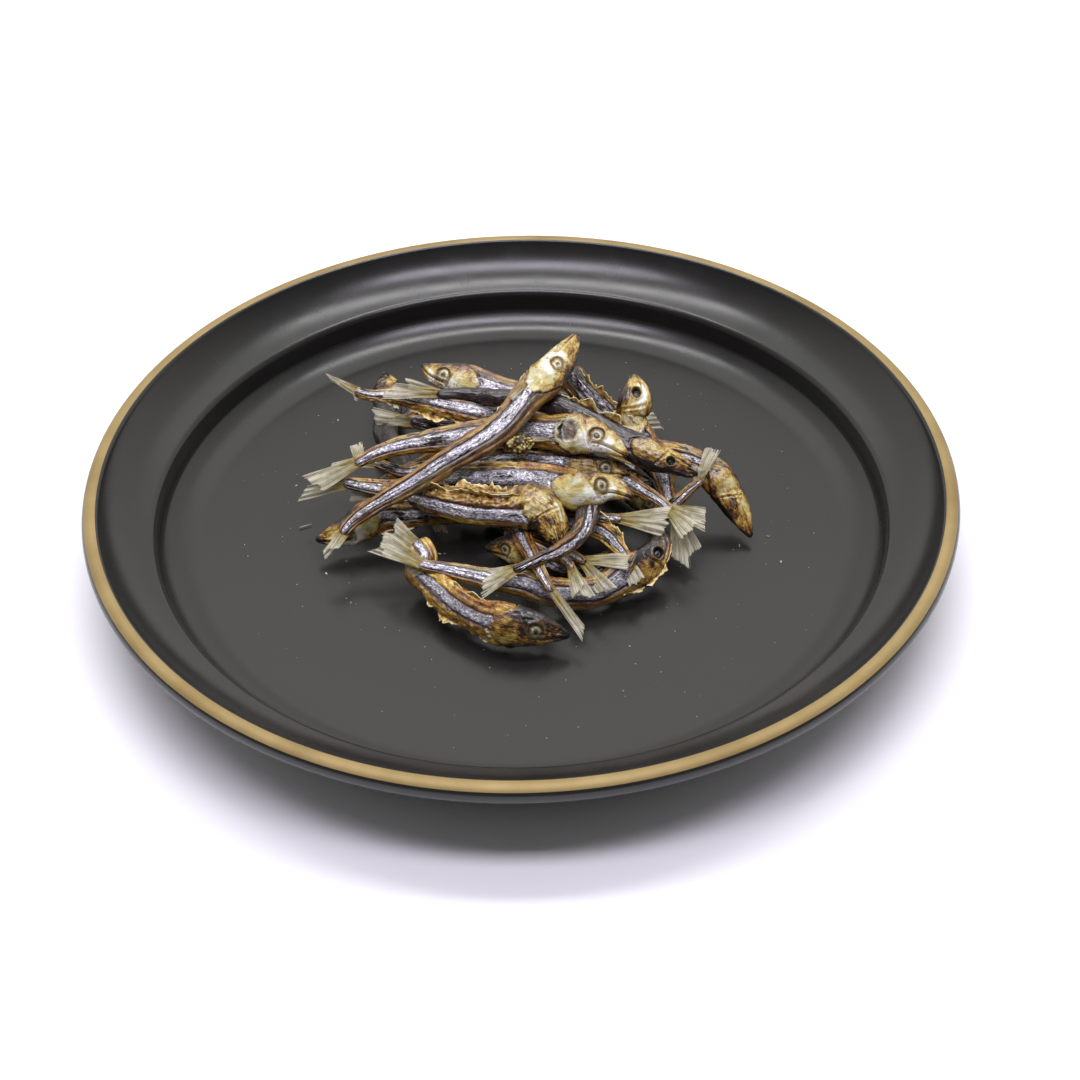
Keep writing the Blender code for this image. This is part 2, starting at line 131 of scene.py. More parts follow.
HEAP = (
    Fish("across_top", ((15, 35, 33), (9, 24, 30), (2, 15, 28), (-5, 6, 25), (-16, -1, 22),
         (-25, -5, 18), (-34, -9, 15), (-40, -12, 12), (-43, -15, 10)),
         8.0, "left", WHOLE, ((-47, -20, 8, 1.4), (-45, -19, 9, 2.0)),
         Look((0.26, 0.62), 0.25, 0.1, 1.0, head=1.1, eye=0.56)),
    Fish("white_cheek", ((26, 1, 20), (19, 6, 22), (10, 9, 21), (0, 12, 20), (-11, 13, 18),
         (-22, 12, 17), (-31, 11, 16), (-37, 9, 15), (-41, 7, 14)),
         8.4, "right", WHOLE, ((-51, 2, 12, 4.6), (-47, 5, 13, 3.4), (-41, 13, 16, 2.6)),
         Look((0.25, 0.72), 0.6, 0.15, 1.1, 1.0, head=1.05)),
    Fish("yellow_head", ((27, -10, 16), (21, -7, 17), (13, -8, 17), (5, -3, 16), (-5, 0, 15),
         (-15, 1, 14), (-22, 2, 12), (-30, 2, 10), (-37, 3, 10), (-44, 5, 10)),
         8.6, "right", WHOLE, ((-54, 3, 8, 2.6), (-51, 6, 9, 3.6)),
         Look((0.2, 0.72), 0.9, 0.1, 0.85)),
    Fish("split_belly", ((9, -20, 10), (7, -15, 13), (3, -12, 15), (-4, -12, 15), (-11, -10, 14),
         (-18, -8, 14), (-25, -3, 12), (-30, 0, 11), (-36, 2, 9)),
         9.6, "left", WHOLE, ((-42, 4, 7, 3.0),),
         Look((0.56, 0.88), 0.5, 0.0, 0.55, 0.0, 1.0, eye=-1.0)),
    Fish("left_head", ((-50, -11, 5), (-42, -9, 6), (-36, -6, 8), (-28, -5, 8), (-20, -3, 7),
         (-10, -2, 6), (0, -2, 5), (12, -5, 5)),
         7.6, "left", WHOLE, ((20, -8, 5, 3.0),),
         Look((0.3, 0.62), 0.7, 0.25, 0.6)),
    Fish("upper_left", ((17, 22, 6), (11, 23, 9), (4, 22, 13), (-4, 21, 17), (-11, 19, 20),
         (-20, 21, 21), (-31, 25, 21), (-38, 26, 21), (-42, 28, 21)),
         7.0, "right", WHOLE, ((-49, 33, 22, 0.9), (-42, 27, 20, 2.4)),
         Look((0.38, 0.8), 0.7, 0.0, 0.5, 0.0, 0.5)),
    Fish("upper_back", ((44, -1, 15), (38, 1, 17), (30, 4, 19), (20, 10, 22), (10, 16, 24),
         (2, 19, 24), (-5, 20, 24), (-14, 22, 24), (-21, 22, 24)),
         6.6, "left", WHOLE, ((-33, 22, 25, 3.4), (-28, 24, 25, 3.6)),
         Look((0.3, 0.75), 0.3, 1.0, 0.15, 0.0, 0.2, 1.0)),
    Fish("right_arch", ((56, -9, 2), (52, -2, 7), (47, 4, 12), (41, 7, 14), (33, 10, 14),
         (25, 15, 13), (17, 21, 12), (9, 28, 10), (0, 32, 8)),
         7.2, "left", WHOLE, ((-8, 36, 6, 3.0),),
         Look((0.38, 0.56), 1.0, 0.25, 0.45, eye=-1.0)),
    Fish("back_flap", ((12, 33, 22), (16, 27, 20), (21, 23, 17), (26, 18, 13), (31, 13, 9),
         (37, 6, 6)),
         7.0, "right", (0.25, 0.9), (),
         Look((0.25, 0.6), 0.6, 0.5, 0.5, 0.0, 0.4)),
    Fish("upright_head", ((29, 32, 22), (29, 24, 20), (28, 21, 16), (32, 15, 12), (35, 5, 11),
         (36, -3, 10), (38, -8, 9)),
         7.2, "right", WHOLE, ((38, -19, 3, 4.0), (41, -17, 4, 4.4)),
         Look((0.3, 0.75), 0.6, 0.0, 0.7, 0.0, 0.3, 1.0, head=1.5, eye=0.42)),
    Fish("right_tail", ((-14, 12, 6), (-5, 12, 7), (6, 12, 7), (13, 11, 9), (20, 7, 11),
         (24, 3, 12), (29, -2, 12), (33, -6, 12), (36, -9, 11)),
         7.0, "left", WHOLE, ((44, -14, 12, 4.6), (40, -18, 12, 4.4)),
         Look((0.25, 0.7), 0.6, 0.0, 0.5)),
    Fish("behind_yellow", ((28, 1, 12), (24, 3, 14), (17, 4, 14), (7, 7, 14), (-3, 9, 13),
         (-13, 10, 11), (-23, 11, 9), (-30, 10, 9), (-37, 14, 9)),
         7.0, "right", WHOLE, ((-42, 16, 8, 2.6),),
         Look((0.35, 0.7), 0.9, 0.2, 0.4, 0.0, 0.6)),
    Fish("front_curl", ((32, -14, 10), (33, -19, 9), (30, -23, 7), (24, -27, 6), (17, -31, 5),
         (8, -32, 6), (0, -31, 8), (-8, -30, 9), (-17, -28, 10), (-24, -27, 11)),
         8.0, "right", WHOLE, ((-34, -19, 9, 2.4), (-32, -21, 12, 4.6), (-27, -26, 8, 3.0)),
         Look((0.3, 0.78), 0.5, 0.0, 0.15, hollow=1.0)),
    Fish("front_fish", ((11, -45, 4.5), (3, -44, 6), (-4, -43, 6.5), (-10, -40, 6.5), (-16, -35, 6.5),
         (-20, -30, 6.5), (-24, -25, 7), (-23, -22, 9), (-25, -18, 10)),
         8.6, "right", (0.0, 0.76), ((-33, -18, 11, 3.6), (-30, -16, 13, 3.4)),
         Look((0.36, 0.66), 1.0, 0.0, 0.05, 0.0, 0.5)),
    Fish("thin_curve", ((6, 11, 8), (13, 4, 10), (17, -4, 12), (16, -12, 14), (14, -20, 14),
         (9, -26, 14), (4, -29, 14), (-2, -32, 13)),
         6.4, "left", (0.1, 1.0), ((-9, -37, 12, 3.2), (-7, -33, 13, 2.2)),
         Look((0.45, 0.85), 0.5, 0.45, 0.5)),
    Fish("thin_stick", ((-8, 4, 5), (-6, -2, 6), (-2, -8, 8), (1, -19, 10), (4, -30, 12),
         (7, -36, 10)),
         6.2, "left", (0.3, 1.0), ((14, -45, 5, 2.0),),
         Look((0.2, 0.6), 0.6, 0.0, 0.5)),
    Fish("back_head", ((-26, 47, 15), (-22, 43, 15), (-15, 41, 14), (-6, 38, 13), (2, 36, 12),
         (10, 34, 11), (18, 32, 9), (27, 28, 7), (35, 22, 5)),
         8.0, "left", WHOLE, ((42, 17, 4, 3.6),),
         Look((0.3, 0.7), 0.5, 0.0, 0.8)),
    Fish("back_left", ((-37, 59, 4), (-36, 50, 5), (-35, 40, 6), (-35, 29, 6), (-31, 19, 6),
         (-27, 10, 5), (-22, 2, 4)),
         7.0, "right", WHOLE, ((-20, -6, 3, 3.0),),
         Look((0.35, 0.6), 0.3, 1.0, 0.1)),
    Fish("silver_patch", ((20, 20, 8), (10, 23, 9), (0, 24, 11), (-10, 22, 13), (-18, 21, 14),
         (-24, 21, 15), (-28, 23, 15)),
         7.2, "right", (0.2, 1.0), ((-33, 25, 14, 2.6),),
         Look((0.2, 0.75), 0.3, 0.4, 0.5)),
    Fish("broken_end", ((-1, 13, 15), (6, 11, 15), (13, 10, 14), (21, 10, 11), (29, 8, 9)),
         6.6, "left", (0.3, 0.8), (),
         Look((0.55, 0.8), 1.0, 0.0, 0.5, 0.0, 1.0)),
    Fish("gap_head", ((-9, -15, 5), (-3, -16, 6), (3, -19, 6), (10, -23, 6), (18, -22, 5),
         (26, -16, 5)),
         7.0, "left", (0.0, 0.8), (), HIDDEN),
    Fish("tail_stub", ((-16, 2, 6), (-8, 0, 7), (2, -2, 9), (11, -7, 11), (18, -12, 12),
         (24, -14, 13)),
         6.6, "left", (0.2, 1.0), ((35, -13, 13, 3.6), (34, -17, 12, 3.0)),
         Look((0.25, 0.7), 0.4, 0.3, 0.5)),
    Fish("inner_curl", ((-4, -4, 5), (3, -5, 6), (9, -7, 7), (15, -11, 9), (20, -16, 10),
         (23, -21, 10), (25, -25, 10)),
         7.4, "right", (0.2, 1.0), ((27, -30, 7, 3.4), (25, -30, 7, 3.0)),
         Look((0.3, 0.7), 0.7, 0.1, 0.5)),
    Fish("fork_tail", ((-4, -8, 4), (4, -14, 5), (10, -20, 8), (15, -26, 10)),
         6.4, "left", (0.5, 1.0), ((20, -34, 8, 3.8), (25, -27, 11, 3.4)),
         Look((0.3, 0.7), 0.6, 0.2, 0.5)),
    Fish("draped_tail", ((0, -8, 4), (6, -15, 6), (9, -22, 9), (12, -28, 10)),
         6.0, "left", (0.5, 1.0), ((15, -36, 8, 3.4), (13, -35, 9, 3.0)),
         Look((0.3, 0.7), 0.6, 0.2, 0.5)),
    Fish("right_stem", ((29, -11, 7), (35, -7, 9), (39, -5, 12), (44, -2, 15)),
         5.6, "left", (0.55, 1.0), ((47, 5, 19, 3.0), (43, 0, 17, 3.0)),
         Look((0.3, 0.6), 0.7, 0.3, 0.5)),
    Fish("under_back_1", ((-34, 36, 4), (-24, 40, 4), (-12, 42, 4), (2, 42, 4), (16, 38, 4),
         (28, 34, 4)),
         7.4, "left", WHOLE, ((36, 36, 4, 3.6),), HIDDEN),
    Fish("under_back_2", ((31, 24, 4), (20, 30, 5), (8, 33, 7), (-6, 33, 8), (-19, 32, 8),
         (-30, 31, 9)),
         7.4, "right", WHOLE, ((-38, 33, 9, 3.6),), HIDDEN),
    Fish("under_left", ((-40, 0, 4), (-33, 8, 5), (-24, 17, 5), (-16, 27, 5), (-10, 37, 5)),
         7.2, "left", WHOLE, ((-7, 45, 4, 3.6),), HIDDEN),
    Fish("under_right", ((36, -4, 4), (29, 6, 5), (21, 16, 5), (14, 27, 5), (8, 39, 4)),
         7.2, "right", WHOLE, ((4, 47, 4, 3.6),), HIDDEN),
)

# Meshes of the fish: rings from snout to tail, and columns round the body. The head has more than
# its share of the rings, and the flank more of the columns. Lengths are in millimetres.
FINE_MESH = (210, 64)
COARSE_MESH = (110, 36)
HEAD_RING_SHARE = 0.42
FLANK_CROWDING = 0.17
REST_GAP = 0.3
SNOUT_ROUNDING = 0.6
END_ROUNDING = 1.6

# What a fish's mesh hands to its material, at each point:
# band: share of the way from belly to back
# head: how far in front of the head's rear edge the point is, in millimetres
# eye, gill: distances from the eye and from the open gill, as shares of their radii
# relief: height of the skin's relief, in millimetres
# torn, tone: the Look's torn, and its gold, dark and pale
# body_mm: the place in the fish, in millimetres
# face: the place on the flank as shares of the head's length and half depth, and a number for the fish
SKIN_VALUES = ("band", "head", "eye", "gill", "relief", "torn")
SKIN_VECTORS = ("body_mm", "tone", "face")
FAR_OFF = 4.0

# The eye's radius, as a share of the body's half depth, and the depth of an empty socket in
# millimetres. The open gill's middle, as shares of the head's length and of the half depth, and its
# radii, as shares of the head's length.
EYE_SIZE = 0.46
HOLLOW_EYE_SIZE = 0.34
SOCKET_DEPTH = 1.0
GILL_CENTRE = (0.81, 0.1)
GILL_SIZE = (0.14, 0.17)


def linear_colour(code):
    """An sRGB hex colour as linear red, green, blue and alpha."""
    channels = [int(code[i : i + 2], 16) / 255 for i in (1, 3, 5)]
    linear = [c / 12.92 if c <= 0.04045 else ((c + 0.055) / 1.055) ** 2.4 for c in channels]
    return (*linear, 1.0)


def fill(socket, value):
    """Links a socket to another one, or sets it. A text is an sRGB hex colour."""
    if isinstance(value, bpy.types.NodeSocket):
        socket.id_data.links.new(value, socket)
    else:
        socket.default_value = linear_colour(value) if isinstance(value, str) else value


def add_node(tree, kind, *values, stops=(), out=None, **settings):
    """Adds a shader node and gives its output named out, or else the first one in use.

    The kind may end in an operation. Values go into the sockets in use, in their order. A keyword
    with a capital is a socket, and any other a setting of the node. Stops are a ramp's places and
    colours. Every Mix is of two colours.
    """
    kind, _, operation = kind.partition(" ")
    node = tree.nodes.new("ShaderNode" + kind)
    if kind == "Mix":
        node.data_type = "RGBA"
        node.blend_type = operation or "MIX"
    elif operation:
        node.operation = operation
    for name, value in settings.items():
        if name[0].isupper():
            fill(node.inputs[name], value)
        else:
            setattr(node, name, value)
    for socket, value in zip([socket for socket in node.inputs if socket.enabled], values):
        fill(socket, value)
    if stops:
        elements = node.color_ramp.elements
        while len(elements) < len(stops):
            elements.new(0.5)
        for element, (position, colour) in zip(elements, stops):
            element.position = position
            element.color = linear_colour(colour)
    return node.outputs[out] if out else next(socket for socket in node.outputs if socket.enabled)


def new_material(name):
    """An empty material, and the function that adds a node to it."""
    material = bpy.data.materials.new(name)
    material.use_nodes = True
    return material, partial(add_node, material.node_tree)


def dressed(material, **sockets):
    """The material with its surface shader's sockets filled. A space in a name is an underscore."""
    for name, value in sockets.items():
        fill(material.node_tree.nodes["Principled BSDF"].inputs[name.replace("_", " ")], value)
    return material


def black_glaze():
    """Satin black stoneware glaze: nearly black, with a soft mirror of the pale room on it."""
    material, add = new_material("black_glaze")
    here = add("TexCoord", out="Object")
    ripple = add("TexNoise", here, 1 / (9 * MM), 2.0)
    pores = add("TexNoise", here, 1 / (0.9 * MM), 3.0)
    relief = add("Math MULTIPLY_ADD", pores, 0.12, ripple)
    bump = add("Bump", Height=relief, Distance=0.02 * MM, Strength=1.0)
    wear = add("MapRange", ripple, 0.3, 0.7, 0.23, 0.28)
    return dressed(material, Base_Color="#1E1D1C", IOR=1.52, Roughness=wear, Normal=bump)


def gilt():
    """Gold paint on the lip: pale, dull and even, a little browner where it is thin."""
    material, add = new_material("gilt")
    mottle = add("TexNoise", add("TexCoord", out="Object"), 1 / (14 * MM), 4.0)
    colour = add("ValToRGB", mottle, stops=((0.35, "#8C7647"), (0.65, "#9F8959")))
    rough = add("MapRange", mottle, 0.0, 1.0, 0.62, 0.5)
    return dressed(material, Base_Color=colour, Metallic=0.3, Roughness=rough)


def dried_skin():
    """Dried anchovy skin: streaked silver between dark lines, ochre belly and back, bony pale head."""
    material, add = new_material("dried_skin")
    values = (add("Attribute", attribute_name=name, out="Fac") for name in SKIN_VALUES)
    band, head, eye, gill, relief, torn = values
    values = (add("Attribute", attribute_name=name, out="Vector") for name in SKIN_VECTORS)
    body_mm, tone, face = values
    gold, dark, pale = add("SeparateXYZ", tone).node.outputs
    head_x, head_y, fish = add("SeparateXYZ", face).node.outputs

    # Patterns, in the fish's own millimetres: patches 5 mm, streaks 0.35 by 1.6 mm, flecks 0.3 mm.
    spot = add("VectorMath ADD", body_mm, add("CombineXYZ", 0.0, fish, fish))
    stretched = add("VectorMath MULTIPLY", spot, (0.22, 1.0, 1.0))
    squeezed = add("VectorMath MULTIPLY", spot, (0.5, 1.0, 1.0))
    patch = add("TexNoise", spot, 1 / 5, 3.0)
    blotch = add("TexNoise", spot, 1 / 1.7, 4.0)
    streak = add("TexNoise", stretched, 1 / 0.35, 3.0, 0.6)
    fleck = add("TexNoise", squeezed, 1 / 0.34, 2.0, 0.75)
    bruise = add("TexNoise", stretched, 1 / 1.3, 3.0, 0.65)
    crease = add("TexNoise", spot, 1 / 1.5, 2.5, Distortion=0.6)
    crease = add("Math ABSOLUTE", add("Math SUBTRACT", crease, 0.5))

    # The body's bands from belly to back.
    sway = add("MapRange", blotch, 0.25, 0.75, -0.04, 0.04)
    place = add("Math ADD", band, sway)
    body = add("ValToRGB", place, stops=(
        (0.00, "#33200F"), (0.08, "#60401D"), (0.16, "#8C642B"), (0.22, "#6E4720"),
        (0.275, "#532B18"), (0.305, "#2A1A1A"), (0.335, "#6F6A72"), (0.62, "#7F7B88"),
        (0.655, "#4A4350"), (0.70, "#211A21"), (0.78, "#281A17"), (0.86, "#452819"),
        (0.94, "#70491F"), (1.00, "#3E2813"),
    ))

    # Ochre, on the back and on the belly, where it is kept.
    ochre_at = add("Math MULTIPLY_ADD", streak, 0.4, bruise)
    ochre = add("ValToRGB", add("MapRange", ochre_at, 0.38, 1.02), stops=(
        (0.14, "#3A220F"), (0.30, "#7D4E1B"), (0.43, "#B98A33"), (0.57, "#D6B154"), (0.76, "#F0E2AC"),
    ))
    aged = add("ValToRGB", patch, stops=((0.38, "#F2C8A0"), (0.48, "#FFF6E4"), (0.60, "#E8ECB8")))
    ochre = add("Mix MULTIPLY", 0.8, ochre, aged)
    kept = add("MapRange", patch, 0.4, 0.54, 0.55, 1.0)
    ripe = add("Math MULTIPLY_ADD", gold, 0.65, 0.2)
    for start, end, share in ((0.68, 0.75, gold), (0.27, 0.22, ripe)):
        ochre_on = add("MapRange", place, start, end)
        ochre_on = add("Math MULTIPLY", ochre_on, share)
        ochre_on = add("Math MULTIPLY", ochre_on, kept)
        body = add("Mix", ochre_on, body, ochre)

    # Silver: bright flecks, partly pale scale and partly painted glints, and dark streaks on a faintly
    # lilac grey, between the two dark lines.
    silver = add("Math MULTIPLY", add("MapRange", place, 0.305, 0.35), add("MapRange", place, 0.69, 0.62))
    # The white end of this ramp is partly painted glint.
    scale_and_glint_flecks = add("ValToRGB", fleck, stops=(
        (0.34, "#363237"), (0.42, "#7F7C83"), (0.50, "#A5A2A9"), (0.58, "#CAC7CB"), (0.66, "#FFFFFF"),
    ))
    shimmer = add("ValToRGB", patch, stops=((0.36, "#A8A498"), (0.5, "#A9A7AE"), (0.64, "#9E9BAE")))
    silvery = add("Mix OVERLAY", 0.55, scale_and_glint_flecks, shimmer)
    body = add("Mix", add("Math MULTIPLY", silver, 0.92), body, silvery)

    # Long dark bruises where the silver has rubbed off, more of them on the darkest fish.
    more = add("Math MULTIPLY_ADD", dark, 0.42, -0.64)
    bruised = add("MapRange", add("Math ADD", bruise, more), 0.0, 0.05)
    black = add("ValToRGB", fleck, stops=((0.42, "#120B0C"), (0.6, "#2A1A17"), (0.74, "#6E5F63")))
    body = add("Mix", bruised, body, black)

    # The head: its lightness is summed from patterns and from the bones' parts, and then coloured.
    light = -1.0
    for pattern, weight in ((blotch, 0.75), (fleck, 0.6), (patch, 0.8), (pale, 0.42)):
        light = add("Math MULTIPLY_ADD", pattern, weight, light)
    fibre = add("Math ADD", streak, -0.5)
    fibre = add("Math MULTIPLY", fibre, add("Math MULTIPLY_ADD", torn, 0.5, 0.5))
    crescent = add("MapRange", eye, 1.12, 1.35)
    for share in (add("MapRange", eye, 2.4, 1.9, 0.0, 0.55), add("MapRange", head_y, 0.4, -0.1), pale):
        crescent = add("Math MULTIPLY", crescent, share)
    cheek_x = add("Math ADD", head_x, -0.52)
    cheek_y = add("Math ADD", head_y, 0.55)
    cheek = add("VectorMath MULTIPLY", add("CombineXYZ", cheek_x, cheek_y), (2.4, 2.0, 0.0))
    parts = [fibre, crescent]
    for where, start, end, gain in (
        (add("VectorMath LENGTH", cheek), 1.0, 0.35, 0.2),
        (head_x, 0.62, 0.68, 0.1),  # gill cover
        (head_y, 0.4, 1.0, -0.4),  # crown
        (head_y, -0.8, -1.15, -0.25),  # underside
        (head_x, 0.18, 0.04, -0.32),  # snout
    ):
        parts.append(add("MapRange", where, start, end, 0.0, gain))
    for part in parts:
        light = add("Math ADD", light, part)
    bone = add("ValToRGB", light, stops=(
        (0.02, "#17110E"), (0.12, "#3F2814"), (0.24, "#82591F"), (0.36, "#B08E3E"),
        (0.50, "#C7B268"), (0.66, "#D6CDA0"), (0.90, "#F2EFE6"),
    ))
    pearl = add("ValToRGB", patch, stops=((0.42, "#FFFFFF"), (0.55, "#D9DCC0"), (0.66, "#C9C5D6")))
    bone = add("Mix MULTIPLY", add("MapRange", head_x, 0.6, 0.7, 0.0, 0.8), bone, pearl)

    # An open gill: grey comb inside, a dark slit along its rear that is painted shade in the opening, and
    # a cream rim.
    inside = add("ValToRGB", blotch, stops=((0.35, "#6E604C"), (0.5, "#B5AF9C"), (0.6, "#C9C5B4")))
    slit_shade = add("Math MULTIPLY_ADD", gill, 0.12, head_x)
    # Painted shade: the slit's near-black colour stands in for the dark inside the open gill.
    inside = add("Mix", add("MapRange", slit_shade, 0.94, 0.98), inside, "#150E0B")
    inside = add("Mix", add("MapRange", gill, 0.9, 1.05), inside, "#D2C596")
    in_gill = add("MapRange", gill, 1.25, 0.98)
    bone = add("Mix", in_gill, bone, inside)

    # The eye: dark pupil, pale ring, olive disc, and a dark line at the socket's sunken edge that is
    # painted shade.
    eye_at = add("Math ADD", eye, add("Math MULTIPLY_ADD", blotch, 0.7, -0.35))
    # The dark stop near 0.74 is the socket's painted shade, and the other rings are the eye's own
    # colours.
    eye_rings_and_socket_shade = add("ValToRGB", add("Math MULTIPLY", eye_at, 0.8), stops=(
        (0.0, "#6A6A5C"), (0.12, "#2A2A20"), (0.20, "#5E5430"), (0.29, "#A0935A"), (0.36, "#EFE8C4"),
        (0.43, "#F3EED2"), (0.49, "#A89454"), (0.58, "#9A8650"), (0.67, "#6E5630"), (0.74, "#3A2614"),
        (0.82, "#9A8248"),
    ))
    eye_rings_and_socket_shade = add("Mix", add("MapRange", pale, -0.1, 1.1, 0.25, 1.0), "#231A12", eye_rings_and_socket_shade)
    bone = add("Mix", add("MapRange", eye, 1.2, 1.05), bone, eye_rings_and_socket_shade)

    ragged = add("Math MULTIPLY_ADD", blotch, 5.0, -2.5)
    on_head = add("MapRange", add("Math ADD", ragged, head), -0.3, 0.3)
    on_head = add("Math MAXIMUM", on_head, in_gill)
    skin = add("Mix", on_head, body, bone)

    # Wrinkles, everywhere but on the silver. Furrows and hollows are darkened by the relief's depth as
    # painted shade, and ridges are rubbed pale.
    wrinkle = add("ValToRGB", crease, stops=((0.0, "#6E4418"), (0.016, "#B08C50"), (0.04, "#FFFFFF")))
    matt = add("Math MULTIPLY_ADD", silver, -1.0, 1.0)
    dull = add("Math MULTIPLY", add("MapRange", patch, 0.46, 0.56, 0.9, 0.1), matt)
    skin = add("Mix MULTIPLY", dull, skin, wrinkle)
    # Painted shade: the lower the relief, the darker the skin, in furrows, grooves, the gill's hollow and
    # the eye's socket.
    furrow_shade = add("ValToRGB", add("MapRange", relief, -0.85, 0.4),
                 stops=((0.0, "#1E130D"), (0.36, "#7A6048"), (0.64, "#FFFFFF")))
    skin = add("Mix MULTIPLY", 0.9, skin, furrow_shade)
    skin = add("Mix", add("MapRange", relief, 0.34, 0.7, 0.0, 0.5), skin, "#DCCFA0")

    on_body = add("Math SUBTRACT", 1.0, on_head)
    metal = add("Math MULTIPLY", silver, on_body)
    metal = add("Math MULTIPLY", metal, 0.35)
    grain = add("Math ADD", streak, fleck)
    coarse = add("Math MULTIPLY_ADD", dark, -0.7, 1.0)
    grain = add("Math MULTIPLY", grain, coarse)
    bony = add("Math MULTIPLY", blotch, on_head)
    grain = add("Math MULTIPLY_ADD", bony, 2.2, grain)
    return dressed(
        material, Base_Color=skin, Metallic=metal, IOR=1.48, Coat_Weight=0.45, Coat_Roughness=0.16,
        Roughness=add("MapRange", blotch, 0.3, 0.7, 0.22, 0.46),
        Normal=add("Bump", Height=grain, Distance=0.1 * MM, Strength=0.9),
    )


def dried_fin():
    """Dried fin: straw-coloured, thin, ribbed by rays of uneven length with gaps between their ends."""
    material, add = new_material("dried_fin")
    blade = add("Attribute", attribute_name="blade", out="Vector")
    reach, side, number = add("SeparateXYZ", blade).node.outputs
    blotch = add("TexNoise", add("TexCoord", out="Object"), 1 / (1.6 * MM), 4.0)
    mixed = add("Math ADD", reach, blotch)
    base = add("ValToRGB", add("Math MULTIPLY", mixed, 0.5), stops=(
        (0.24, "#967428"), (0.36, "#B09E5C"), (0.5, "#B3AC86"), (0.7, "#D8D3BC"),
    ))
    ray = add("TexNoise", add("CombineXYZ", side, number), 9.0, 1.0)
    rib = add("Math MULTIPLY", side, 46.0)
    rib = add("Math MULTIPLY_ADD", ray, 12.0, rib)
    rib = add("Math SINE", rib)
    dim = add("ValToRGB", add("MapRange", rib, -1.0, 1.0), stops=((0.0, "#83694A"), (0.7, "#FFFFFF")))
    ends = add("Math SUBTRACT", add("MapRange", ray, 0.35, 0.5, 0.93, 1.25), reach)
    film = add("MapRange", rib, -1.0, 0.6, 0.36, 0.68)
    return dressed(
        material, Base_Color=add("Mix MULTIPLY", 0.6, base, dim), Roughness=0.4, IOR=1.45,
        Alpha=add("Math MULTIPLY", add("MapRange", ends, 0.0, 0.04), film),
        Normal=add("Bump", Height=rib, Distance=0.01 * MM, Strength=0.5),
    )


def torn_flesh():
    """Dried flesh where a belly has split: brown to ochre, fibrous, with pale crumbly edges."""
    material, add = new_material("torn_flesh")
    outward = add("SeparateXYZ", add("Attribute", attribute_name="blade", out="Vector"))
    here = add("TexCoord", out="Object")
    blotch = add("TexNoise", here, 1 / (1.5 * MM), 5.0)
    crumb = add("TexNoise", here, 1 / (0.35 * MM), 3.0)
    place = add("Math MULTIPLY_ADD", outward, 0.38, blotch)
    place = add("Math MULTIPLY_ADD", crumb, 0.3, place)
    colour = add("ValToRGB", place, stops=(
        (0.52, "#1E120C"), (0.64, "#643C18"), (0.75, "#A87A2E"), (0.87, "#CCA852"), (1.0, "#EEE0AC"),
    ))
    bump = add("Bump", Height=crumb, Distance=0.15 * MM, Strength=0.8)
    return dressed(material, Base_Color=colour, Roughness=0.42, IOR=1.48, Normal=bump)


def dried_roe():
    """Dried roe: olive gold grains, with cream tops as painted highlight and dark gaps as painted shade,
    both from the grains' height.
    """
    material, add = new_material("dried_roe")
    grain = add("Attribute", attribute_name="grain", out="Fac")
    blotch = add("TexNoise", add("TexCoord", out="Object"), 1 / (0.8 * MM), 3.0)
    # Painted shade and highlight: darker where the grain's height is low, between grains, and cream on
    # the grains' tops.
    colour = add("ValToRGB", add("Math MULTIPLY_ADD", blotch, 0.6, grain), stops=(
        (0.16, "#2E2010"), (0.30, "#7C6228"), (0.46, "#A8965A"), (0.64, "#DCD3A4"),
    ))
    return dressed(material, Base_Color=colour, Roughness=0.4)


def pale_dust():
    """Specks of dry scale and salt: greyish cream, matt."""
    material, add = new_material("pale_dust")
    blotch = add("TexNoise", add("TexCoord", out="Object"), 1 / (12 * MM), 2.0)
    colour = add("ValToRGB", blotch, stops=((0.35, "#7C776C"), (0.5, "#A8A494"), (0.65, "#CFC9AE")))
    return dressed(material, Base_Color=colour, Roughness=0.7)


def white_table():
    """Plain pale floor under the plate."""
    material, _ = new_material("white_table")
    return dressed(material, Base_Color="#F8F7FC", Roughness=0.8)


def finished(bm, name, *materials, replaces="anchovy_heap", slot="dried_fish"):
    """Makes a piece of a bmesh: smooth, on the plate's body, standing for a solid."""
    mesh = bpy.data.meshes.new(name)
    bm.to_mesh(mesh)
    bm.free()
    for material in materials:
        mesh.materials.append(material)
    mesh.shade_smooth()
    piece = bpy.data.objects.new(name, mesh)
    bpy.context.scene.collection.objects.link(piece)
    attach(piece, "root")
    if replaces:
        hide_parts(replaces)
    return piece


def arc(centre, radius, start, end, steps):
    """Points of a round stretch of the plate's section. Angles are in degrees."""
    angles = [math.radians(start + (end - start) * i / steps) for i in range(steps + 1)]
    return [(centre[0] + radius * math.cos(a), centre[1] + radius * math.sin(a)) for a in angles]


def sweep(start, pull, end, steps):
    """Points of a curve from start to end that is pulled towards a third point."""
    shares = [i / steps for i in range(steps + 1)]
    return [
        tuple((1 - t) ** 2 * a + 2 * t * (1 - t) * b + t * t * c for a, b, c in zip(start, pull, end))
        for t in shares
    ]


